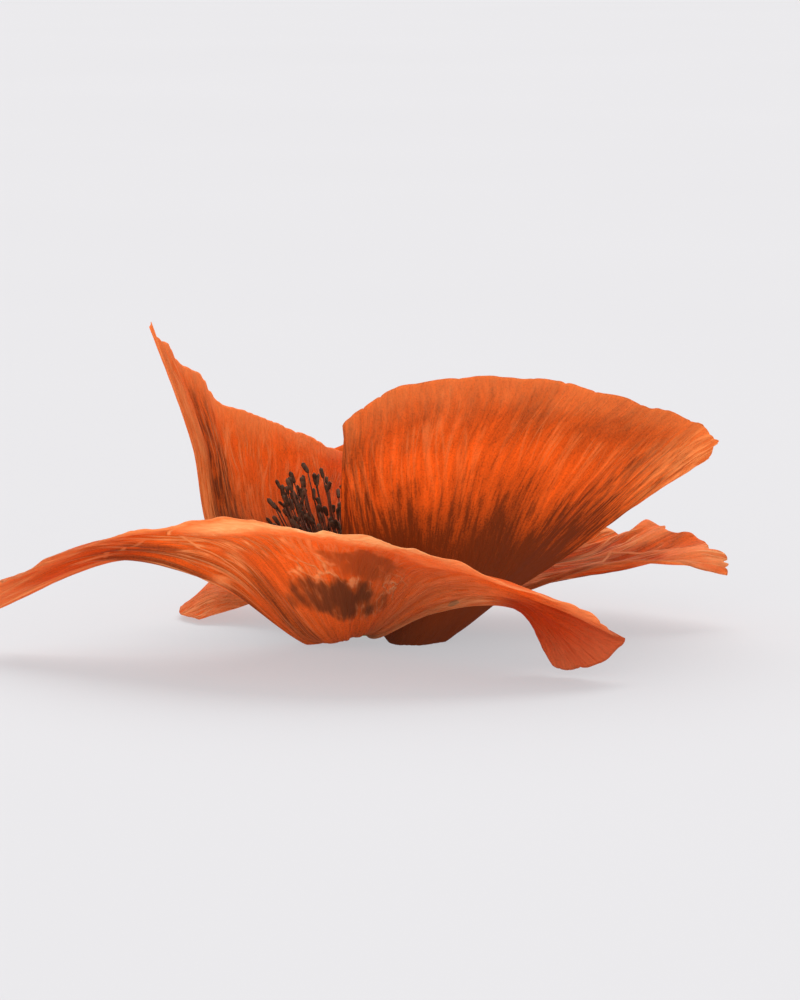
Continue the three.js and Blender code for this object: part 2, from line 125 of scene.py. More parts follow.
# Claw: the angles between which the petal is joined on, and its height. Furrows and ruffles: how
# many broad folds and rim waves there are. Ruffle, pleats: how deep the rim's waves and the
# crumpled folds are, in mm. Notch, tear: how far the rim is cut in, as a share of the petal's
# length. Rounding: how far the corner at each margin is cut back, as the same share. Crumple: the
# v round which the petal is folded most, the half width of that part in v, and the depth in mm.
# Seed: any number, so that no two petals are crumpled alike. Calm, in one petal: the two v
# between which all its folds die down.
PETALS = {
    "petal_front": {
        "veins": FRONT_VEINS, "claw": (195, 262, OUTER_CLAW_HEIGHT), "slot": "petal_outer",
        "furrows": 8, "ruffles": 10, "ruffle": 0.35, "notch": (0.012, 0.004), "tear": (0.016, 0.004),
        "rounding": (0.02, 0.0), "pleats": 0.70, "crumple": (0.08, 0.24, 1.5), "seed": 3,
    },
    "petal_right": {
        "veins": RIGHT_VEINS, "claw": (270, 362, INNER_CLAW_HEIGHT), "slot": "petal_inner",
        "furrows": 8, "ruffles": 9, "ruffle": 0.2, "notch": (0.004, 0.003), "tear": (0.005, 0.006),
        "rounding": (0.0, 0.01), "pleats": 0.32, "crumple": (1.0, 0.35, 0.5), "seed": 7,
    },
    "petal_left": {
        "veins": LEFT_VEINS, "claw": (90, 215, INNER_CLAW_HEIGHT), "slot": "petal_inner",
        "furrows": 6, "ruffles": 7, "ruffle": 0.2, "notch": (0.005, 0.002), "tear": (0.005, 0.003),
        "rounding": (0.0, 0.02), "pleats": 0.26, "crumple": (1.0, 0.25, 0.5), "seed": 11,
    },
    "petal_back": {
        "veins": BACK_VEINS, "claw": (20, 165, OUTER_CLAW_HEIGHT), "slot": "petal_outer",
        "furrows": 9, "ruffles": 12.5, "ruffle": 0.6, "notch": (0.03, 0.002), "tear": (0.022, 0.002),
        "rounding": (0.01, 0.04), "pleats": 0.55, "crumple": (0.08, 0.26, 1.8), "seed": 19,
        "calm": (0.70, 0.82),
    },
}
print("veins:", {name: len(petal["veins"]) for name, petal in PETALS.items()})

# %% [markdown]
# ## Two ways to make a mesh
# Everything in the flower is either a thin sheet or a closed tube. A sheet is a grid of points
# that gets an inside and an outside face, joined along its edge, so it is a true thin solid and
# lets light through like one. A tube is a stack of rings closed by a point at each end, which
# also makes turned shapes, anthers and hairs. Both are built from whole arrays, because a loop
# over a hundred thousand vertices would take minutes in Python.

# %% From arrays to a mesh object
def mesh_object(name, vertices, quads, triangles, uv=None):
    """A smooth-shaded mesh object at the origin. vertices: (n, 3) in metres. quads and
    triangles: arrays of vertex indices. uv: (n, 2), one pair for each vertex."""
    mesh = bpy.data.meshes.new(name)
    loops = np.concatenate([quads.ravel(), triangles.ravel()]).astype(np.int32)
    quad_starts = np.arange(len(quads)) * 4
    triangle_starts = len(quads) * 4 + np.arange(len(triangles)) * 3
    starts = np.concatenate([quad_starts, triangle_starts]).astype(np.int32)
    mesh.vertices.add(len(vertices))
    mesh.vertices.foreach_set("co", np.ascontiguousarray(vertices, np.float32).ravel())
    mesh.loops.add(len(loops))
    mesh.loops.foreach_set("vertex_index", loops)
    mesh.polygons.add(len(starts))
    mesh.polygons.foreach_set("loop_start", starts)
    mesh.polygons.foreach_set("use_smooth", np.ones(len(starts), bool))
    mesh.update(calc_edges=True)
    if uv is not None:
        layer = mesh.uv_layers.new(name="petal")
        layer.data.foreach_set("uv", uv[loops].astype(np.float32).ravel())
    piece = bpy.data.objects.new(name, mesh)
    bpy.context.scene.collection.objects.link(piece)
    return piece


def unit_vectors(vectors):
    """The vectors along the last axis, scaled to length one."""
    return vectors / np.linalg.norm(vectors, axis=-1, keepdims=True)


def grid_normals(grid):
    """Unit normals of a grid of points: the cross product of the steps to the neighbours."""
    return unit_vectors(np.cross(np.gradient(grid, axis=0), np.gradient(grid, axis=1)))


def sheet_object(name, grid, thickness, uv_grid):
    """A thin closed solid round a grid of points: each face lies half the thickness off the
    grid along its normal, and a strip joins the two faces along the edge."""
    rows, columns = grid.shape[:2]
    half = grid_normals(grid) * (thickness[..., None] / 2)
    count = rows * columns
    vertices = np.concatenate([(grid + half).reshape(-1, 3), (grid - half).reshape(-1, 3)])
    number = np.arange(count).reshape(rows, columns)
    corners = [number[:-1, :-1], number[1:, :-1], number[1:, 1:], number[:-1, 1:]]
    inside = np.stack([c.ravel() for c in corners], axis=1)
    outside = inside[:, ::-1] + count
    edge = np.concatenate([number[:-1, 0], number[-1, :-1], number[:0:-1, -1], number[0, :0:-1]])
    after = np.roll(edge, -1)
    strip = np.stack([edge, edge + count, after + count, after], axis=1)
    quads = np.concatenate([inside, outside, strip])
    uv = np.tile(uv_grid.reshape(-1, 2), (2, 1))
    return mesh_object(name, vertices, quads, np.empty((0, 3), int), uv)


def tubes_object(name, rings, first, last):
    """Closed tubes in one object, in mm from the axis. rings: (tubes, rings, corners, 3),
    counterclockwise as seen from the last ring's end. first and last: (tubes, 3), the points
    that close the ends."""
    tubes, levels, corners = rings.shape[:3]
    size = levels * corners + 2
    vertices = np.concatenate([rings.reshape(tubes, -1, 3), first[:, None], last[:, None]], axis=1)
    number = np.arange(levels * corners).reshape(levels, corners)
    beside = np.roll(number, -1, axis=1)
    wall = np.stack([number[:-1], beside[:-1], beside[1:], number[1:]], axis=-1).reshape(-1, 4)
    start = np.stack([np.full(corners, size - 2), beside[0], number[0]], axis=-1)
    end = np.stack([np.full(corners, size - 1), number[-1], beside[-1]], axis=-1)
    shift = (np.arange(tubes) * size)[:, None, None]
    quads = (wall[None] + shift).reshape(-1, 4)
    triangles = (np.concatenate([start, end])[None] + shift).reshape(-1, 3)
    return mesh_object(name, vertices.reshape(-1, 3) * MM + AXIS, quads, triangles)


# %% [markdown]
# ## Smooth curves and a repeatable crumple
# The veins are joined by a curve that passes through every place it is given, so the numbers
# above can be read as real places on the petal. The crumple of the silk comes from value noise:
# random heights on a lattice, blended smoothly in between. It is seeded, so the flower is the
# same each time.

# %% Curves and noise
def polar(radius, degrees, z):
    """Points at a radius and an angle round the axis."""
    angle = np.radians(degrees)
    return np.stack(np.broadcast_arrays(radius * np.cos(angle), radius * np.sin(angle), z), axis=-1)


def curve_weights(t, count):
    """Weights of `count` evenly spaced places at t from 0 to 1 on the uniform Catmull-Rom curve
    through them. Past each end the curve goes straight on: the missing place is twice the end
    place less its neighbour. Result: t's shape with one more axis of length `count`."""
    position = np.clip(np.asarray(t, float), 0, 1) * (count - 1)
    span = np.minimum(position.astype(int), count - 2)
    x = position - span
    cubic = [
        -0.5 * x + x**2 - 0.5 * x**3,
        1 - 2.5 * x**2 + 1.5 * x**3,
        0.5 * x + 2 * x**2 - 1.5 * x**3,
        -0.5 * x**2 + 0.5 * x**3,
    ]
    padded = np.zeros(position.shape + (count + 2,))
    for offset, weight in enumerate(cubic):
        np.put_along_axis(padded, (span + offset)[..., None], weight[..., None], axis=-1)
    weights = padded[..., 1:-1].copy()
    weights[..., 0] += 2 * padded[..., 0]
    weights[..., 1] -= padded[..., 0]
    weights[..., -1] += 2 * padded[..., -1]
    weights[..., -2] -= padded[..., -1]
    return weights


LATTICE = 128


def noise(x, y, seed):
    """Value noise from 0 to 1: random heights at whole x and y, blended between them by the
    curve 6t^5 - 15t^4 + 10t^3."""
    heights = np.random.default_rng(seed).random((LATTICE, LATTICE))
    column = np.floor(x).astype(int)
    row = np.floor(y).astype(int)
    tx = x - column
    ty = y - row
    tx = tx**3 * (tx * (6 * tx - 15) + 10)
    ty = ty**3 * (ty * (6 * ty - 15) + 10)
    c0, c1 = column % LATTICE, (column + 1) % LATTICE
    r0, r1 = row % LATTICE, (row + 1) % LATTICE
    near = heights[r0, c0] * (1 - tx) + heights[r0, c1] * tx
    far = heights[r1, c0] * (1 - tx) + heights[r1, c1] * tx
    return near * (1 - ty) + far * ty


def creases(x, y, seed):
    """Sharp folds from 0 to 1: one less the distance of the noise from its middle value."""
    return 1 - np.abs(2 * noise(x, y, seed) - 1)


print("a curve's weights half-way through five places:", curve_weights(0.5, 5))

# %% [markdown]
# ## The petals
# A real petal grows from a narrow claw and fans out, with veins that run from the claw to the
# rim. It was packed tightly in its bud, and it keeps that crumple: long folds along the veins,
# finer ones between them, and a thin rim that is waved and torn. A cloth simulation could crumple
# a sheet, but its folds would run in any direction. Heights added along the normals of the smooth
# sheet, stretched along the veins, give the folds their true direction.

# %% A petal's surface
FURROW_DEPTH = 0.45
CORNER_WIDTH = 0.11
RIM_THICKNESS = 0.16
CLAW_THICKNESS = 0.42
NEVER = (2.0, 3.0)


def rim_reach(petal, v):
    """How far the sheet reaches along the vein at v: one, less broad notches between the veins,
    less fine tears that vary from place to place, less the rounding of the two corners."""
    wave = np.sin(np.pi * petal["ruffles"] * v + 0.6 * np.sin(9 * v))
    jags = 0.5 * noise(70 * v, 0 * v, petal["seed"] + 50)
    rips = creases(24 * v, 0 * v, petal["seed"] + 51) ** 6
    left = np.clip(1 - v / CORNER_WIDTH, 0, 1) ** 2 * petal["rounding"][0]
    right = np.clip(1 - (1 - v) / CORNER_WIDTH, 0, 1) ** 2 * petal["rounding"][1]
    notch, tear = (first + (last - first) * v for first, last in (petal["notch"], petal["tear"]))
    return 1 - notch * wave**4 - tear * (jags + rips) - left - right


def folds(petal, u, v):
    """Heights in mm of the folds that were pressed in the bud: long ones along the veins in three
    sizes, and steeper, slanting ones in the part that is crumpled most."""
    seed = petal["seed"]
    drift = 0.8 * noise(3 * v, 2.5 * u, seed) + 0.25 * noise(9 * v, 6 * u, seed + 1)
    long_folds = creases(17 * v + drift, 1.7 * u, seed + 2) - 0.5
    pleats = creases(41 * v + 2 * drift, 2.6 * u, seed + 3) - 0.5
    wrinkles = creases(90 * v + 4 * drift, 5 * u, seed + 4) - 0.5
    envelope = petal["pleats"] * u**0.8 * (1 - 0.25 * u)
    height = envelope * (1.1 * long_folds + 0.8 * pleats + 0.35 * wrinkles)
    at_v, half_v, depth = petal["crumple"]
    zone = depth * np.clip(1 - ((v - at_v) / half_v) ** 2, 0, 1) * np.clip(2 * u - 0.5, 0, 1)
    height += zone * (creases(15 * v + 0.9 * u + drift, 1.6 * u, seed + 8) - 0.5)
    return height + 0.5 * zone * (creases(34 * v - 2.5 * u + drift, 3 * u, seed + 9) - 0.5)


def relief(petal, u, v):
    """Height off the smooth sheet, in mm: the solid model's furrows and ruffles, the folds, and
    a fine crinkle and a small wave that grow towards the rim."""
    seed = petal["seed"]
    furrow = np.sin(2 * np.pi * petal["furrows"] * (v + 0.04 * np.sin(7 * v)))
    ruffle = np.sin(2 * np.pi * petal["ruffles"] * v + 1.3)
    height = FURROW_DEPTH * u * furrow + petal["ruffle"] * u**6 * ruffle + folds(petal, u, v)
    crinkle = noise(60 * v, 26 * u, seed + 5) + 0.5 * noise(120 * v, 52 * u, seed + 6) - 0.75
    rim_wave = np.sin(2 * np.pi * (30 * v + 1.5 * noise(8 * v, 0 * v, seed + 7)))
    height += 0.22 * u**2 * crinkle + petal["ruffle"] * 0.5 * u**14 * rim_wave
    calm_from, calm_to = petal.get("calm", NEVER)
    return height * (1 - 0.8 * np.clip((v - calm_from) / (calm_to - calm_from), 0, 1))


ROWS = 120
COLUMNS = 400


def petal_grid(petal):
    """The middle of a petal's sheet, in mm, and its u and v. u runs along the veins from 0
    at the claw to 1 at the rim, and v across them."""
    start, end, height = petal["claw"]
    roots = polar(CLAW_RADIUS, np.linspace(start, end, len(petal["veins"])), height)
    net = np.concatenate([roots[:, None], np.array(petal["veins"], float)], axis=1)
    v = np.linspace(0, 1, COLUMNS)
    u = np.linspace(0, 1, ROWS)[:, None] * rim_reach(petal, v)[None]
    v = np.broadcast_to(v, u.shape)
    across = curve_weights(v[0], net.shape[0])
    along = curve_weights(u, net.shape[1])
    veins = np.einsum("jn,nkc->jkc", across, net)
    smooth = np.einsum("ijk,jkc->ijc", along, veins)
    grid = smooth + grid_normals(smooth) * relief(petal, u, v)[..., None]
    return grid, u, v


def petal_object(name, petal):
    """The petal as a closed sheet that thins from its claw to its rim and lies flat where it
    bears on the surface. The height of its folds is kept as an attribute, so that the finish can
    paint highlights on their crests and shade in their valleys."""
    grid, u, v = petal_grid(petal)
    thickness = CLAW_THICKNESS + (RIM_THICKNESS - CLAW_THICKNESS) * u**0.5
    lowest = thickness / 2 + 0.02
    grid[..., 2] = np.maximum(grid[..., 2], lowest)
    uv = np.stack([v, u], axis=-1)
    piece = sheet_object(name, grid * MM + AXIS, thickness * MM, uv)
    fold = piece.data.attributes.new("fold", "FLOAT", "POINT")
    fold.data.foreach_set("value", np.tile(folds(petal, u, v).ravel(), 2).astype(np.float32))
    return piece


petals = {name: petal_object(name + "_silk", petal) for name, petal in PETALS.items()}
for name, piece in petals.items():
    print(name, "has", len(piece.data.polygons), "faces")

# %% [markdown]
# ## The middle: receptacle, seed capsule and stigma disc
# Under the petals is a small green ring, the receptacle, with the cut end of the stalk. On it
# stands the seed capsule, closed by a disc whose dark velvety rays catch the pollen. All three
# are turned shapes, as on a lathe: a profile of radius and height is carried round the axis. The
# rays and ribs are a wave in the radius and height that depends on the angle.

# %% Turned shapes
RECEPTACLE_RADIUS = 4.0
RECEPTACLE_TOP = 4.8
STALK_RADIUS = 2.6
STALK_CUT_HEIGHT = 0.3
GAP = 0.3
OVARY_TOP = 18
STIGMA_RADIUS = 6.6
STIGMA_RAYS = 14


def turned_object(name, profile, shaped=None, corners=168, levels=60):
    """A closed turned solid. profile: (radius, height) pairs in mm from the axis at the bottom
    to the axis at the top, joined by a smooth curve. shaped: a function of radius, height and
    angle that returns the radius and height to use instead."""
    points = np.array(profile, float)
    t = np.linspace(0, 1, levels + 2)[1:-1]
    radius, height = (curve_weights(t, len(points)) @ points).T
    angle = np.linspace(0, 2 * np.pi, corners, endpoint=False)
    radius, angle = np.meshgrid(np.maximum(radius, 0.02), angle, indexing="ij")
    height = np.broadcast_to(height[:, None], radius.shape)
    if shaped is not None:
        radius, height = shaped(radius, height, angle)
    rings = np.stack([radius * np.cos(angle), radius * np.sin(angle), height], axis=-1)
    ends = np.array([[0, 0, points[0, 1]], [0, 0, points[-1, 1]]])
    return tubes_object(name, rings[None], ends[:1], ends[1:])


def ribbed(radius, height, angle):
    """The capsule's faint ribs, one under each ray."""
    return radius * (1 + 0.018 * np.cos(STIGMA_RAYS * angle)), height


def rayed(radius, height, angle):
    """Scallops in the disc's edge, and a rounded velvety ridge along each ray on its top."""
    ray = np.cos(STIGMA_RAYS * angle)
    out = np.clip(radius / STIGMA_RADIUS, 0, 1)
    on_top = np.clip((height - OVARY_TOP - 0.8) / 0.5, 0, 1)
    ridge = 0.45 * np.maximum(ray, -0.2) ** 3 * np.minimum(3 * out, 1) * on_top
    return radius * (1 + 0.05 * ray * out), height + ridge


receptacle = turned_object("receptacle_green", [
    [0, STALK_CUT_HEIGHT], [1.6, STALK_CUT_HEIGHT], [STALK_RADIUS, STALK_CUT_HEIGHT + 0.1],
    [2.8, 0.9], [3.7, 1.3], [RECEPTACLE_RADIUS, 2.2], [RECEPTACLE_RADIUS, 3.9],
    [3.4, RECEPTACLE_TOP - 0.05], [1.7, RECEPTACLE_TOP], [0, RECEPTACLE_TOP],
])
foot = RECEPTACLE_TOP + GAP
capsule = turned_object("seed_capsule", [
    [0, foot], [1.5, foot], [2.0, foot + 0.6], [2.3, foot + 1.9], [3.8, foot + 3.5],
    [5.0, foot + 5.6], [5.55, foot + 8.2], [5.6, foot + 10.6], [5.0, foot + 12.3],
    [2.6, OVARY_TOP], [0, OVARY_TOP],
], ribbed)
disc_base = OVARY_TOP + GAP
disc = turned_object("stigma_rays", [
    [0, disc_base], [3.2, disc_base], [5.6, disc_base + 0.1], [STIGMA_RADIUS, disc_base + 0.5],
    [6.1, disc_base + 1.0], [3.4, disc_base + 1.35], [1.2, disc_base + 1.4], [0, disc_base + 1.4],
], rayed)
print("capsule and disc:", len(capsule.data.polygons), len(disc.data.polygons), "faces")

# %% [markdown]
# ## The stamens
# A poppy has a hundred or more stamens in a dense ring, each a thread with a long two-lobed
# anther on its tip. Nature spaces such crowds by the golden angle, and so does this cell: stamen
# number i stands at i times 137.5 degrees. The steepest stand nearest the capsule, and the last
# ones lean out over the petals. Each thread runs from its root towards a bend and curves over to
# its tip, and most tips are a random length lower than their place. A particle system could
# scatter them, but it would not keep each one clear of the capsule.

# %% Threads and anthers
STAMEN_COUNT = 220
COLLAR_INNER_RADIUS = 2.6
COLLAR_RADIUS = 4.6
INNER_TIP_RADIUS = 9.5
OUTER_TIP_RADIUS = 19.5
INNER_TIP_HEIGHT = 25
TALLEST_TIP = 31.5
OUTER_TIP_HEIGHT = 21
TIP_SPREAD = 8.0
BEND_HEIGHT = 8.0
FILAMENT_RADIUS = 0.18
ANTHER_LENGTH = 3.0
ANTHER_RADIUS = 0.42
ANTHER_TILT = 0.22
GOLDEN_ANGLE = 137.508


def side_vectors(direction):
    """Two unit vectors square to each direction and to each other."""
    helper = np.zeros_like(direction)
    helper[..., 0] = 0.31
    helper[..., 1] = 0.95
    side = unit_vectors(np.cross(direction, helper))
    return side, np.cross(direction, side)


def swept_rings(centres, directions, radii, corners, lobes=0.0):
    """Rings of `corners` points round each centre, square to its direction. lobes: how much
    the ring is drawn in at two sides, which makes it a figure of eight."""
    side, other = side_vectors(directions)
    angle = np.linspace(0, 2 * np.pi, corners, endpoint=False)
    shape = (1 + lobes * np.cos(2 * angle)) * radii[..., None]
    return (centres[..., None, :] + (shape * np.cos(angle))[..., None] * side[..., None, :]
            + (shape * np.sin(angle))[..., None] * other[..., None, :])


draw = np.random.default_rng(11)
index = np.arange(STAMEN_COUNT)
lean = (index + 0.5) / STAMEN_COUNT
azimuth = index * GOLDEN_ANGLE + draw.uniform(-5, 5, STAMEN_COUNT)
tip_radius = INNER_TIP_RADIUS + (OUTER_TIP_RADIUS - INNER_TIP_RADIUS) * np.sqrt(lean)
straight = INNER_TIP_HEIGHT + (OUTER_TIP_HEIGHT - INNER_TIP_HEIGHT) * lean
crown = (TALLEST_TIP - (INNER_TIP_HEIGHT + OUTER_TIP_HEIGHT) / 2) * np.sin(np.pi * lean)
shorter = TIP_SPREAD * draw.random(STAMEN_COUNT) ** 0.75 - 0.6
tip_height = straight + crown - shorter
root_radius = COLLAR_INNER_RADIUS + 0.5 + lean * (COLLAR_RADIUS - COLLAR_INNER_RADIUS - 0.9)
root = polar(root_radius, azimuth, foot + 0.3)
bend = polar(0.62 * tip_radius + 1.2, azimuth, foot + BEND_HEIGHT + lean)
tip = polar(tip_radius, azimuth + draw.uniform(-6, 6, STAMEN_COUNT), tip_height)

t = np.linspace(0, 1, 7)[None, :, None]
thread = (1 - t) ** 2 * root[:, None] + 2 * t * (1 - t) * bend[:, None] + t**2 * tip[:, None]
heading = unit_vectors(2 * (1 - t) * (bend - root)[:, None] + 2 * t * (tip - bend)[:, None])
thread_radius = FILAMENT_RADIUS * (1.25 - 0.5 * t[..., 0]) * np.ones((STAMEN_COUNT, 1))
filaments = tubes_object(
    "stamen_threads", swept_rings(thread, heading, thread_radius, 5), thread[:, 0], thread[:, -1])

tilt = draw.normal(0, ANTHER_TILT, (STAMEN_COUNT, 3))
anther_heading = unit_vectors(heading[:, -1] + tilt)
length = ANTHER_LENGTH * draw.uniform(0.6, 1.1, STAMEN_COUNT)[:, None, None]
s = np.linspace(-0.5, 0.5, 8)[1:-1][None, :, None]
anther_centre = tip[:, None] + anther_heading[:, None] * (length * (s + 0.32))
club = (0.88 + 0.30 * s[..., 0]) * (1 - (2 * s[..., 0]) ** 4) ** 0.5
anther_radius = ANTHER_RADIUS * club * draw.uniform(0.7, 1.15, (STAMEN_COUNT, 1))
anther_direction = np.broadcast_to(anther_heading[:, None], anther_centre.shape)
anthers = tubes_object(
    "anthers", swept_rings(anther_centre, anther_direction, anther_radius, 8, 0.2),
    tip + anther_heading * length[:, 0] * -0.18, tip + anther_heading * length[:, 0] * 0.82)

collar = turned_object("stamen_ring", [
    [0, foot - 0.02], [COLLAR_INNER_RADIUS, foot - 0.02], [COLLAR_RADIUS - 0.2, foot],
    [COLLAR_RADIUS, foot + 0.5], [COLLAR_RADIUS - 0.5, foot + 1.2], [3.4, foot + 1.5],
    [COLLAR_INNER_RADIUS, foot + 1.2], [2.2, foot + 0.5], [0, foot + 0.4],
])
print(STAMEN_COUNT, "stamens, the tallest tip at", round(float(tip_height.max()), 1), "mm")

# %% [markdown]
# ## Short hairs on the receptacle
# Poppies are bristly plants. The stalk is cut off here, so only its last millimetres and the
# receptacle still carry hairs. Each is a curved spike of three sides that starts inside the
# green, which hides its root.

# %% Hairs
HAIR_COUNT = 260
hair_draw = np.random.default_rng(5)
hair_turn = hair_draw.uniform(0, 360, HAIR_COUNT)
hair_height = hair_draw.uniform(1.5, 4.3, HAIR_COUNT)
hair_root = polar(RECEPTACLE_RADIUS - 0.15, hair_turn, hair_height)
hair_out = unit_vectors(polar(1.0, hair_turn, hair_draw.normal(-0.2, 0.35, HAIR_COUNT)))
hair_long = hair_draw.uniform(0.35, 0.6, HAIR_COUNT)[:, None, None]
along_hair = np.array([0.0, 0.35, 0.7])[None, :, None]
hair_centre = hair_root[:, None] + hair_out[:, None] * along_hair * hair_long
hair_centre[..., 2] -= 0.12 * along_hair[..., 0] ** 2
hair_direction = np.broadcast_to(hair_out[:, None], hair_centre.shape)
hair_radius = 0.035 * (1 - along_hair[..., 0]) * np.ones((HAIR_COUNT, 1))
hair_tip = hair_root + hair_out * hair_long[:, 0] - np.array([0, 0, 0.12])
hairs = tubes_object(
    "receptacle_hairs", swept_rings(hair_centre, hair_direction, hair_radius, 3),
    hair_root, hair_tip)
print(HAIR_COUNT, "hairs")

# %% [markdown]
# ## Writing a finish as a sum
# A finish is a graph of nodes. Long graphs are hard to read when every link is a line of code, so
# the class below wraps one socket and lets it be added and multiplied like a number. A colour is
# mixed by a node of its own, and any other node is made by one method.

# %% A small language for node graphs
class Value:
    """One output socket of a finish, with arithmetic."""

    def __init__(self, finish, socket):
        self.finish = finish
        self.socket = socket

    def math(self, operation, *others):
        return self.finish.node("ShaderNodeMath", {"operation": operation},
                                dict(enumerate((self,) + others)))

    def __add__(self, other):
        return self.math("ADD", other)

    def __sub__(self, other):
        return self.math("SUBTRACT", other)

    def __mul__(self, other):
        return self.math("MULTIPLY", other)

    def __pow__(self, other):
        return self.math("POWER", other)

    def __rsub__(self, other):
        return self.math("MULTIPLY_ADD", -1.0, other)

    def ramp(self, low, high):
        """0 below low, 1 above high, and a smooth step between them. low may be above high."""
        return self.finish.node(
            "ShaderNodeMapRange", {"interpolation_type": "SMOOTHSTEP"},
            {"Value": self, "From Min": low, "From Max": high, "To Min": 0.0, "To Max": 1.0})


class Finish:
    """A material and the nodes in it."""

    def __init__(self, name):
        self.material = bpy.data.materials.new(name)
        self.material.use_nodes = True
        self.tree = self.material.node_tree
        self.tree.nodes.clear()

    def node(self, kind, settings, inputs, output=0):
        """Makes a node: its settings first, because they decide which sockets it has, then its
        inputs, which are numbers, colours or Values. Returns one output as a Value."""
        made = self.tree.nodes.new(kind)
        for name, value in settings.items():
            setattr(made, name, value)
        for name, value in inputs.items():
            if isinstance(value, Value):
                self.tree.links.new(value.socket, made.inputs[name])
            else:
                made.inputs[name].default_value = value
        return Value(self, made.outputs[output])

    def mix(self, factor, first, second):
        """The first colour where factor is 0, the second where it is 1."""
        return self.node("ShaderNodeMix", {"data_type": "RGBA"},
                         {"Factor": factor, 6: first, 7: second}, 2)

    def blend(self, factor, first, second):
        """The first shader where factor is 0, the second where it is 1."""
        return self.node("ShaderNodeMixShader", {}, {0: factor, 1: first, 2: second})

    def noise(self, vector, scale=1.0, detail=2.0):
        """Cloudy noise round 0.5. detail: how many finer layers are laid over it."""
        return self.node("ShaderNodeTexNoise", {},
                         {"Vector": vector, "Scale": scale, "Detail": detail})

    def vector(self, x, y, z=0.0):
        return self.node("ShaderNodeCombineXYZ", {}, {0: x, 1: y, 2: z})

    def object_place(self):
        """The place in the piece's own metres."""
        return self.node("ShaderNodeTexCoord", {}, {}, "Object")

    def bump(self, height, distance, strength=1.0):
        return self.node("ShaderNodeBump", {},
                         {"Height": height, "Distance": distance, "Strength": strength})

    def surface(self, shader):
        """Joins the shader to the output and returns the finished material."""
        output = self.tree.nodes.new("ShaderNodeOutputMaterial")
        self.tree.links.new(shader.socket, output.inputs["Surface"])
        return self.material


def rgb(red, green, blue):
    """A linear colour with full alpha."""
    return (red, green, blue, 1.0)


print("graph helpers ready")

# %% [markdown]
# ## The petals' finish
# Light meets a petal in two ways. A little bounces off its satin face, which is one Principled
# shader. The rest goes through and comes out scattered on the other side, which is a Translucent
# shader. The translucent part is a blend of four: a bright orange one, a deeper red one where shade
# is painted, a dim one where the veins, the dark heart over the claw and painted shade hold light
# back, and a pale one where light is painted on the rim and the creases. The same marks colour the
# face, so the two agree. All of them are drawn in the petal's own u and v, so the veins fan out with
# it from the claw to the rim.

# %% Where the marks of each petal are
# All places are in v and u. A strength is 0 to 1, or more in a mark that is patchy by itself.
# heart        the u at which the dark of the claw has faded out, and the u where it is full
# depth        how strong the heart is
# veins, creases, margin    how strong the dark veins are, and the pale creases and pale rim, which are painted light
# lined        the two v between which the veins fade out, past 1 where they don't
# creased      the two u between which the pale creases, painted highlights, come in
# blotches_and_shade   dark ellipses with a crisp uneven edge, in part the poppy's own blotch and in part
#              painted shade of the capsule and the folds seen through the petal: v, u, half width,
#              half length, strength
# veils        painted shade: dark ellipses with a soft edge and streaks inside, given in the same way
# shades       painted shade: dark ellipses with a soft edge and nothing inside, given in the same way
# deep_shade, nets   ellipses of a deeper red that is painted shade, and of fine pale lines that cross,
#              painted highlights on wrinkles, given in the same way
# lit_streaks  pale streaks painted where more light falls: the two v and the two u between which they
#              come in, their strength
# bands        a painted highlight, a pale blurred band along the rim: the two v where it comes in,
#              the two where it ends, strength
# fold_lines   a fold, painted as a highlight on its crest and shade beside it: v and u of one end,
#              v and u of the other, strength
# see_through  the share of the light that goes through
MARK_KINDS = ("blotches_and_shade", "veils", "shades", "deep_shade", "nets", "lit_streaks", "bands", "fold_lines")
UNMARKED = dict.fromkeys(MARK_KINDS, ())
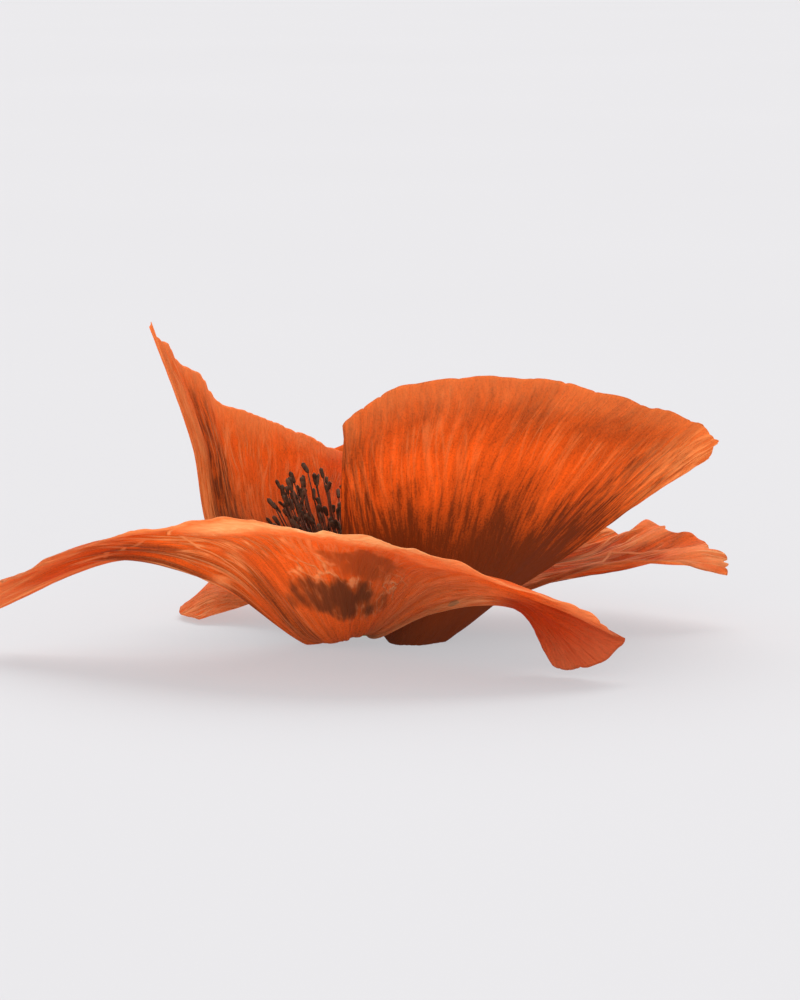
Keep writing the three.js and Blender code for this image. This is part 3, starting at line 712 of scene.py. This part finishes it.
PLACES = {
    "petal_front": {
        "heart": (0.36, 0.12), "depth": 0.45, "veins": 0.45, "creases": 0.7, "margin": 0.7,
        "lined": (0.50, 0.32), "creased": (0.15, 0.60), "see_through": 0.62,
        # The two blotches are in part the poppy's own dark blotch and in part painted shade of the
        # capsule and of folds seen through the petal.
        "blotches_and_shade": [(0.54, 0.49, 0.08, 0.07, 0.45), (0.50, 0.375, 0.15, 0.05, 0.85)],
        "veils": [(0.25, 0.33, 0.07, 0.14, 0.20), (0.928, 0.552, 0.016, 0.018, 3.0)],
        # The deeper red on the far left lobe and on the hanging flap at the right is painted shade.
        "deep_shade": [(0.06, 0.95, 0.26, 0.32, 0.5), (0.95, 1.0, 0.24, 0.34, 0.8)],
        "nets": [(0.53, 0.42, 0.17, 0.11, 0.7)],
        "lit_streaks": [(0.60, 0.78, 0.80, 0.62, 0.3), (0.86, 0.93, 0.74, 0.64, 0.6)],
        "bands": [(0.30, 0.38, 0.54, 0.72, 1.1)],
        "fold_lines": [
            (0.340, 0.92, 0.22, 0.585, 0.5), (0.22, 0.585, 0.205, 0.40, 0.5),
            (0.09, 0.76, 0.225, 0.73, 0.25),
        ],
    },
    # The right petal stands in front of the back petal: its heart, the poppy's own dark blotch,
    # reaches far up as painted shade of the back petal, and its veils and shades are painted shade
    # too.
    "petal_right": {
        "heart": (0.92, 0.46), "depth": 0.92, "veins": 0.5, "creases": 0.3, "margin": 0.35,
        "lined": (3.0, 2.0), "creased": (0.60, 0.95), "see_through": 0.78,
        "veils": [(0.00, 0.55, 0.24, 0.50, 0.26), (0.80, 0.60, 0.20, 0.34, 0.24)],
        "shades": [(0.50, 1.05, 0.80, 0.25, 0.26), (0.32, 0.36, 0.60, 0.30, 0.30)],
        "lit_streaks": [(0.58, 0.90, 0.62, 0.92, 0.55)],
    },
    "petal_left": {
        "heart": (0.80, 0.35), "depth": 0.8, "veins": 0.35, "creases": 0.4, "margin": 0.5,
        "lined": (3.0, 2.0), "creased": (0.40, 0.80), "see_through": 0.75,
        # The first veil is painted shade along a fold of the petal.
        "veils": [(0.77, 0.35, 0.13, 0.62, 0.42), (0.45, 0.10, 0.40, 0.30, 0.3)],
        "lit_streaks": [(0.82, 0.90, 0.10, 0.30, 0.5)],
    },
    "petal_back": {
        "heart": (0.55, 0.25), "depth": 0.6, "veins": 0.6, "creases": 0.65, "margin": 0.15,
        "lined": (3.0, 2.0), "creased": (0.20, 0.60), "see_through": 0.72,
        "veils": [(0.12, 0.90, 0.30, 0.40, 0.12)],
        "deep_shade": [(0.15, 0.60, 0.35, 0.30, 0.5)],
        "lit_streaks": [(0.72, 0.82, 0.20, 0.50, 0.4), (0.07, 0.03, 0.30, 0.60, 0.3)],
        "fold_lines": [
            (0.05, 0.50, 0.19, 0.77, 0.4), (0.19, 0.77, 0.12, 0.93, 0.35),
            (0.25, 0.60, 0.20, 0.95, 0.4), (0.912, 0.88, 0.906, 0.66, 0.3),
        ],
    },
}
print("marks on", ", ".join(PLACES))

# %% [markdown]
# ## From places to marks
# A line is the set of points where a smooth noise crosses its middle value, which gives veins that
# wander and never end at a grid line. A spot is a squared distance that is 1 on an ellipse, bent by
# another noise so that its edge is uneven. Three values leave this cell: the deeper red of painted
# shade, the dark of the petal's own marks and of painted shade, and the pale of painted light.

# %% Marks
LENGTH_RATIO = 2.9
LINE_WIDTH = 0.009


def ridge(value, sharpness):
    """1 where a noise crosses its middle value, falling to 0 on both sides: a thin line."""
    return (1.0 - (value - 0.5).math("ABSOLUTE") * sharpness).math("MAXIMUM", 0.0)


def strongest(value, others):
    """The largest of a value and some others at each point."""
    for other in others:
        value = value.math("MAXIMUM", other)
    return value


def fold_line(v, u, v0, u0, v1, u1):
    """A fold from one place to another, as two values: a painted highlight on the crest, and painted
    shade beside it.
    Both come from the squared distance to the nearest point of the line between the places. v
    is stretched first, because a petal is wider than it is long."""
    run = np.array([(v1 - v0) * LENGTH_RATIO, u1 - u0])
    across, along = (v - v0) * LENGTH_RATIO, u - u0
    unit = run / (run @ run)
    t = (across * unit[0] + along * unit[1]).math("MAXIMUM", 0.0).math("MINIMUM", 1.0)
    off = (across - t * run[0]) ** 2.0 + (along - t * run[1]) ** 2.0
    side = across * run[1] - along * run[0]
    # Painted shade beside the fold, on one side, and a painted highlight on its crest.
    shade = off.ramp((6 * LINE_WIDTH) ** 2, 0.0) * side.ramp(0.0, 0.0005)
    return off.ramp(LINE_WIDTH**2, 0.0), shade


class Marks:
    """The marks of one petal. seed shifts the noises, so no two petals are alike."""

    def __init__(self, f, places, seed):
        self.places = {**UNMARKED, **places}
        uv = f.node("ShaderNodeUVMap", {"uv_map": "petal"}, {})
        self.v = v = f.node("ShaderNodeSeparateXYZ", {}, {0: uv}, 0)
        self.u = u = f.node("ShaderNodeSeparateXYZ", {}, {0: uv}, 1)
        self.fold = f.node("ShaderNodeAttribute", {"attribute_name": "fold"}, {}, "Fac")
        self.lined = v.ramp(*self.places["lined"]) * 0.85 + 0.15
        self.grain = f.noise(f.object_place(), 2600.0, 2.0)
        streak = v + f.noise(f.vector(v * 5.0, u * 3.0, seed), detail=1.0) * 0.06
        self.broad = f.noise(f.vector(streak * 26.0, u * 1.6, seed + 2.0), detail=1.0)
        self.narrow = f.noise(f.vector(streak * 80.0, u * 4.0, seed + 4.0), detail=2.0)
        self.fibre = f.noise(f.vector(streak * 170.0, u * 20.0, seed + 6.0), detail=3.0)
        self.cloud = f.noise(f.vector(v * 9.0, u * 6.0, seed + 8.0), detail=4.0)
        self.crease = f.noise(f.vector(streak * 75.0, u * 1.8, seed + 10.0), detail=1.0)
        self.slant = f.noise(f.vector(streak * 34.0 + u * 5.0, u * 2.0, seed + 12.0), detail=1.0)
        self.fleck = f.noise(f.vector(streak * 130.0, u * 13.0, seed + 14.0), detail=4.0)
        self.net = f.noise(f.vector(streak * 20.0, u * 19.0 + v * 8.0, seed + 16.0), detail=2.0)
        self.curl = f.noise(f.vector(v * 26.0, u * 15.0, seed + 18.0), detail=3.0)
        uneven = (self.curl - 0.5) * 3.0 + (self.cloud - 0.5) * 2.5
        # Blotches with an uneven edge: partly the poppy's own, partly painted shade.
        self.blots_and_shade = [((off + uneven).ramp(1.7, 0.4), strength)
                      for off, strength in self.ellipses("blotches_and_shade")]
        wobble = (self.cloud - 0.5) * 0.05
        self.folds = [(*fold_line(v + wobble * 0.4, u + wobble, *ends), strength)
                      for *ends, strength in self.places["fold_lines"]]

    def ellipses(self, kind):
        """For each ellipse: a value that is 0 in its middle and 1 on its edge, and its strength."""
        for at_v, at_u, half_v, half_u, strength in self.places[kind]:
            across = (self.v - at_v) * (1 / half_v)
            along = (self.u - at_u) * (1 / half_u)
            yield across**2.0 + along**2.0, strength

    def deep_shade(self):
        """Painted shade: where the petal is a deeper red, as on parts turned away from the light."""
        patchy = self.cloud * 0.5 + 0.75
        washes = [off.ramp(1.15, 0.45) * patchy * strength for off, strength in self.ellipses("deep_shade")]
        return strongest(self.v * 0.0, washes).math("MINIMUM", 1.0)

    def dark_and_shade(self):
        """The heart over the claw, flecks and veins, which are the petal's own, and painted shade:
        in the valleys of the folds, in part of the blotches, in the shades and veils, and beside the
        folds.
        """
        heart = self.u + (self.cloud - 0.5) * 0.3 + (self.narrow - 0.5) * 0.3
        heart = heart.ramp(*self.places["heart"])
        flecks = (self.fleck - 0.5) * 1.7 + (self.grain - 0.5) * 0.35 + heart * 0.55
        flecks = flecks.ramp(0.0, 0.52) * (heart * 0.8 + 0.14)
        heart = strongest(heart * 0.75, [flecks]) * self.places["depth"]
        veins = ridge(self.broad, 8.0) * 0.5 + ridge(self.narrow, 7.0) * 0.6
        veins = (veins + self.fibre.ramp(0.50, 0.72) * 0.4) * (1.1 - self.u * 0.75)
        # Painted shade in the valleys of the folds, where the fold attribute is low.
        valley_shade = self.fold.ramp(-0.06, -0.40) * 0.38
        veins = (veins * self.places["veins"] + valley_shade) * self.lined
        dark_and_shade = strongest(heart, [veins]) + (self.grain - 0.46).math("MAXIMUM", 0.0) * 0.9
        dark_and_shade = dark_and_shade + self.fleck.ramp(0.50, 0.72) * 0.10
        dark_and_shade = strongest(dark_and_shade, [blot_and_shade * strength for blot_and_shade, strength in self.blots_and_shade])
        # Painted shade: soft dark ellipses.
        for off, strength in self.ellipses("shades"):
            dark_and_shade = dark_and_shade + off.ramp(1.3, 0.2) * strength
        # Painted shade: soft dark ellipses streaked by the flecks.
        for off, strength in self.ellipses("veils"):
            dark_and_shade = dark_and_shade + off.ramp(1.3, 0.3) * (self.fleck.ramp(0.40, 0.60) * 1.3 + 0.3) * strength
        # Painted shade beside the folds.
        return strongest(dark_and_shade, [shade * (strength * 0.6) for _, shade, strength in self.folds])

    def light(self, deep_shade):
        """Painted light: the pale rim, the creases, the crests of folds, nets of fine lines, lit
        streaks and blurred bands.
        """
        p, v, u = self.places, self.v, self.u
        # Painted light on the thin rim, which is pale where light shines through it.
        margin = (u + (self.fibre - 0.5) * 0.12 + (self.cloud - 0.5) * 0.16).ramp(0.82, 1.02)
        # Painted highlights: pale creases, and the crests of the folds from the fold attribute.
        creases = strongest(ridge(self.crease, 20.0), [ridge(self.slant, 22.0) * 0.9])
        creases = creases * self.cloud.ramp(0.36, 0.56) * u.ramp(*p["creased"])
        creases = creases * (self.lined * 0.75 + 0.25) + self.fold.ramp(0.35, 0.95) * 0.5 * self.lined
        light = strongest(margin * (0.75 * p["margin"]), [creases * p["creases"]])
        blots_and_shade = strongest(v * 0.0, [blot_and_shade for blot_and_shade, _ in self.blots_and_shade])
        light = light * (1.0 - deep_shade * 0.75) * (1.0 - blots_and_shade * 0.85)
        # Painted light: pale streaks where more light falls.
        streaks = (self.fibre * 0.7 + self.narrow * 0.6).ramp(0.40, 0.80)
        light = strongest(light, [v.ramp(v0, v1) * u.ramp(u0, u1) * streaks * strength
                                  for v0, v1, u0, u1, strength in p["lit_streaks"]])
        # Painted highlights on the crests of the fold lines.
        light = strongest(light, [crest_highlight * strength for crest_highlight, _, strength in self.folds])
        # Painted highlights on the fine wrinkles that cross.
        lines = ridge(self.net, 20.0) * (1.0 - blots_and_shade)
        light = strongest(light, [off.ramp(1.2, 0.5) * lines * strength
                                  for off, strength in self.ellipses("nets")])
        # A painted highlight: a pale blurred band along the rim.
        for v0, v1, v2, v3, strength in p["bands"]:
            band = (u + (self.cloud - 0.5) * 0.16 - v * 0.2).ramp(0.46, 0.78)
            patchy = self.cloud * 1.6 + self.fibre * 0.8 - 0.6
            light = strongest(light, [band * v.ramp(v0, v1) * v.ramp(v3, v2) * patchy * strength])
        return light.math("MINIMUM", 0.95)


print("marks can be drawn")

# %% [markdown]
# ## Silk
# The marks are mixed into the face's colour one after the other, painted shade and painted light
# among them, and choose between the shaders of the light that comes through. Veins and creases also
# lift the surface a little, as a bump.

# %% Petal finishes
# Each list holds the plain silk, the deeper red of painted shade, the dark of real marks and painted
# shade, and the pale of painted light: first as the face shows them, then as the light that comes
# through is coloured by them.
FACE_COLOURS = [rgb(0.93, 0.165, 0.024), rgb(0.44, 0.036, 0.003),
                rgb(0.16, 0.058, 0.024), rgb(0.98, 0.54, 0.26)]
THROUGH_COLOURS = [rgb(0.99, 0.33, 0.07), rgb(0.62, 0.075, 0.010),
                   rgb(0.23, 0.080, 0.030), rgb(0.99, 0.66, 0.38)]
DARKEST = 0.88
VEIN_HEIGHT = 0.0009


def petal_finish(name, places, seed):
    """Orange-red silk with the marks of one petal, with its painted shade and painted light."""
    f = Finish(name)
    marks = Marks(f, places, seed)
    deep_shade = marks.deep_shade()
    light = marks.light(deep_shade)
    dark_and_shade = (marks.dark_and_shade() * (1.0 - light * 0.6)).math("MINIMUM", DARKEST)
    silk, shaded_red_silk, dark_and_shaded_silk, painted_light_silk = FACE_COLOURS
    colour = f.mix(light, f.mix(dark_and_shade, f.mix(deep_shade, silk, shaded_red_silk), dark_and_shaded_silk), painted_light_silk)
    height = marks.narrow * 0.5 + marks.fibre * 0.5 + marks.broad * 0.4 + light * 0.8
    normal = f.bump(height, VEIN_HEIGHT, 0.8)
    face = f.node("ShaderNodeBsdfPrincipled", {}, {
        "Base Color": colour, "Roughness": 0.6, "Normal": normal, "Specular IOR Level": 0.08})
    # The four shaders of the light that comes through: the plain silk, the deeper red of painted
    # shade, the dim of dark marks and painted shade, and the pale of painted light.
    bright, red, dim_and_shaded, painted_light_through = (
        f.node("ShaderNodeBsdfTranslucent", {}, {"Color": shade, "Normal": normal})
        for shade in THROUGH_COLOURS)
    through = f.blend(light, f.blend(dark_and_shade, f.blend(deep_shade, bright, red), dim_and_shaded), painted_light_through)
    return f.surface(f.blend(places["see_through"], face, through))


for order, (name, piece) in enumerate(petals.items()):
    piece.data.materials.append(
        petal_finish(name.replace("petal", "silk"), PLACES[name], 20.0 * order))
print("petals finished")

# %% [markdown]
# ## The finishes of the middle
# The capsule is pale blue green with a waxy bloom. The threads and anthers are a very dark brown,
# and the rays nearly black with a violet cast. Each gets a little noise, because nothing that grew
# has one even colour.

# %% Finishes of the middle
def grown_finish(name, first, second, scale, roughness, bump_distance, extra=None):
    """Two colours mottled by noise in the piece's own coordinates, with a fine grain."""
    f = Finish(name)
    place = f.object_place()
    mottle = f.noise(place, scale, 3.0)
    grain = f.noise(place, scale * 6, 2.0)
    colour = f.mix(mottle.ramp(0.35, 0.65), first, second)
    settings = {"Base Color": colour, "Roughness": roughness,
                "Normal": f.bump(grain, bump_distance)}
    settings.update(extra or {})
    return f.surface(f.node("ShaderNodeBsdfPrincipled", {}, settings))


thread_finish = grown_finish("stamen_thread", rgb(0.060, 0.019, 0.010), rgb(0.13, 0.038, 0.016),
                             300.0, 0.7, 0.00005, {"Specular IOR Level": 0.1})
anther_finish = grown_finish("anther_dust", rgb(0.045, 0.022, 0.012), rgb(0.100, 0.050, 0.028),
                             900.0, 0.9, 0.0001, {"Specular IOR Level": 0.1})
velvet_finish = grown_finish("ray_velvet", rgb(0.018, 0.007, 0.018), rgb(0.055, 0.022, 0.045),
                             700.0, 0.9, 0.0002, {"Sheen Weight": 0.6})
capsule_finish = grown_finish("capsule_wax", rgb(0.17, 0.27, 0.12), rgb(0.27, 0.38, 0.22),
                              180.0, 0.5, 0.0001, {"Coat Weight": 0.15, "Coat Roughness": 0.5})
green_finish = grown_finish("receptacle_leaf", rgb(0.13, 0.22, 0.05), rgb(0.20, 0.31, 0.08),
                            250.0, 0.6, 0.0001)
hair_finish = grown_finish("hair_pale", rgb(0.45, 0.50, 0.30), rgb(0.60, 0.62, 0.42),
                           200.0, 0.5, 0.00002)

for piece, finish in [
    (filaments, thread_finish), (anthers, anther_finish), (collar, thread_finish),
    (disc, velvet_finish), (capsule, capsule_finish), (receptacle, green_finish),
    (hairs, hair_finish),
]:
    piece.data.materials.append(finish)
print("middle finished")

# %% [markdown]
# ## What stands for what
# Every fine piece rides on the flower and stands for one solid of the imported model, which is then
# hidden. The solids themselves stay where they are, since they are what collides.

# %% Riding and replacing
stand_ins = [(piece, name, PETALS[name]["slot"]) for name, piece in petals.items()]
stand_ins += [
    (filaments, "stamens", "stamen_violet"), (anthers, "stamens", "stamen_violet"),
    (collar, "stamens", "stamen_violet"), (disc, "stigma_disc", "stigma_velvet"),
    (capsule, "ovary", "capsule_green"), (receptacle, "receptacle", "stalk_green"),
    (hairs, "receptacle", "stalk_green"),
]
for piece, node, slot in stand_ins:
    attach(piece, "root")
    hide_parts(node)

# %% [markdown]
# ## Floor, light and camera
# The photograph is a flower against nothing but light. A very wide pale floor fills the whole
# picture behind the flower, so there is no line where it ends. It glows a little, as a lit table
# does. That keeps the shadow faint and lights the undersides of the petals.

# %% Floor
def floor_object():
    """A square pale floor, 60 m wide, that glows softly."""
    side = 30.0
    corners = np.array([[-side, -side, 0], [side, -side, 0], [side, side, 0], [-side, side, 0]])
    floor = mesh_object("floor", corners, np.array([[0, 1, 2, 3]]), np.empty((0, 3), int))
    f = Finish("pale_floor")
    mottle = f.noise(f.object_place(), 3.0, 2.0)
    colour = f.mix(mottle, rgb(0.185, 0.182, 0.182), rgb(0.195, 0.192, 0.192))
    floor.data.materials.append(f.surface(f.node(
        "ShaderNodeBsdfPrincipled", {},
        {"Base Color": colour, "Roughness": 0.9, "Specular IOR Level": 0.0,
         "Emission Color": rgb(0.95, 0.94, 0.97), "Emission Strength": 0.475})))
    return floor


floor = floor_object()
print("floor:", [round(size) for size in floor.dimensions], "m")

# %% [markdown]
# Two very wide suns make the light. The stronger one comes from behind and above, down into the
# bowl of the flower, and shines through the petals towards the camera. The other comes level from
# the camera's side and shows the outside of the petals. Suns as wide as a third of the sky cast
# only soft shadows. The world is nearly white and fills in the rest.

# %% Light
world = bpy.data.worlds.new("studio")
world.use_nodes = True
world.node_tree.nodes["Background"].inputs["Color"].default_value = (0.93, 0.94, 0.97, 1)
world.node_tree.nodes["Background"].inputs["Strength"].default_value = 0.95
bpy.context.scene.world = world


def wide_sun(name, energy, angle, direction):
    """A sun that is `angle` degrees wide, given by the way its light travels."""
    sun = bpy.data.lights.new(name, "SUN")
    sun.energy = energy
    sun.angle = np.radians(angle)
    lamp = bpy.data.objects.new(name, sun)
    lamp.rotation_euler = Vector(direction).to_track_quat("-Z", "Y").to_euler()
    bpy.context.scene.collection.objects.link(lamp)


wide_sun("light_behind", 3.85, 60, (-0.12, -0.75, -1.0))
wide_sun("light_in_front", 2.75, 70, (0.1, 1.0, -0.06))

# %% [markdown]
# The camera looks a little down on the flower from about a metre away, with a long lens. That
# keeps the near petal from looking larger than it is.

# %% Camera
AIM_RIGHT = 7.0
AIM_HEIGHT = 27.5
aim = Vector((AXIS[0] + AIM_RIGHT * MM, AXIS[1], AIM_HEIGHT * MM))
elevation = np.radians(8.0)
distance = 0.9
camera = bpy.data.objects.new("camera", bpy.data.cameras.new("camera"))
camera.location = aim + Vector((0, -np.cos(elevation), np.sin(elevation))) * distance
camera.rotation_euler = (aim - camera.location).to_track_quat("-Z", "Y").to_euler()
camera.data.lens = 162
camera.data.sensor_width = 36
camera.data.clip_start = 0.01
camera.data.clip_end = 100
bpy.context.scene.collection.objects.link(camera)
bpy.context.scene.camera = camera
bpy.context.scene.view_settings.view_transform = "Standard"
print("camera", round(distance, 2), "m away")
